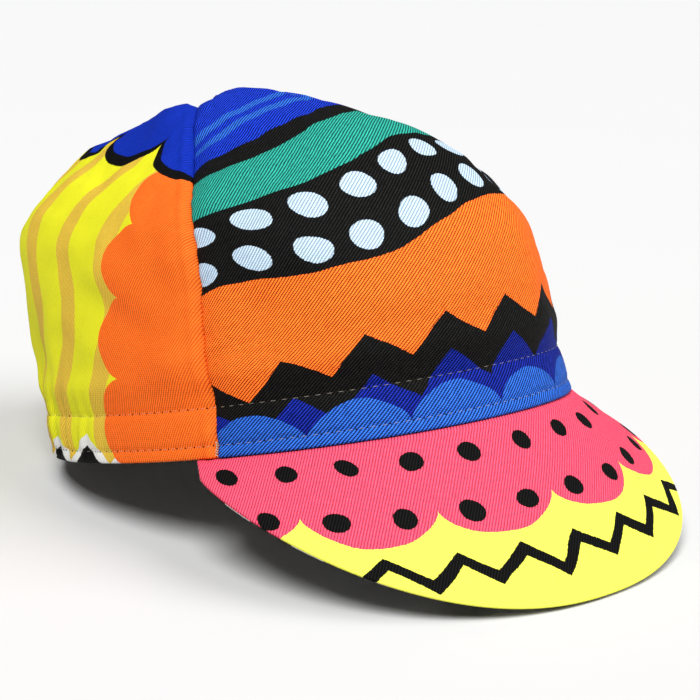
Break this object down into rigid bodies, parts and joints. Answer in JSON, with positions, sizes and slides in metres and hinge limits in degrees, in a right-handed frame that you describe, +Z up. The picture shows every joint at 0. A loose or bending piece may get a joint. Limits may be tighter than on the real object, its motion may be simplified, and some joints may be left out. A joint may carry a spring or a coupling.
{
  "type": "cloth cycling cap with a short peak",
  "caption": "Brightly printed twill cycling cap with a gored crown, a stitched band gathered at the back and a short drooping peak.",
  "frame": {"origin": "on the surface the cap rests on, under the middle of its extents", "axes": "+Z up, the peak toward -Y, the wearer's right toward -X; the cap rests on the front edge of its peak and the back of its band"},
  "size_m": [0.1582, 0.2605, 0.1303],
  "materials": {
    "front_cloth": "printed twill",
    "back_cloth": "printed twill",
    "tape": "plain cotton tape",
    "peak_cloth": "printed twill",
    "peak_under_cloth": "printed twill"
  },
  "bodies": {
    "root": {"front_panel": "front_cloth", "back_right_panel": "back_cloth", "back_left_panel": "back_cloth", "inner_tape": "tape", "peak_top": "peak_cloth", "peak_under": "peak_under_cloth"}
  },
  "joints": []
}
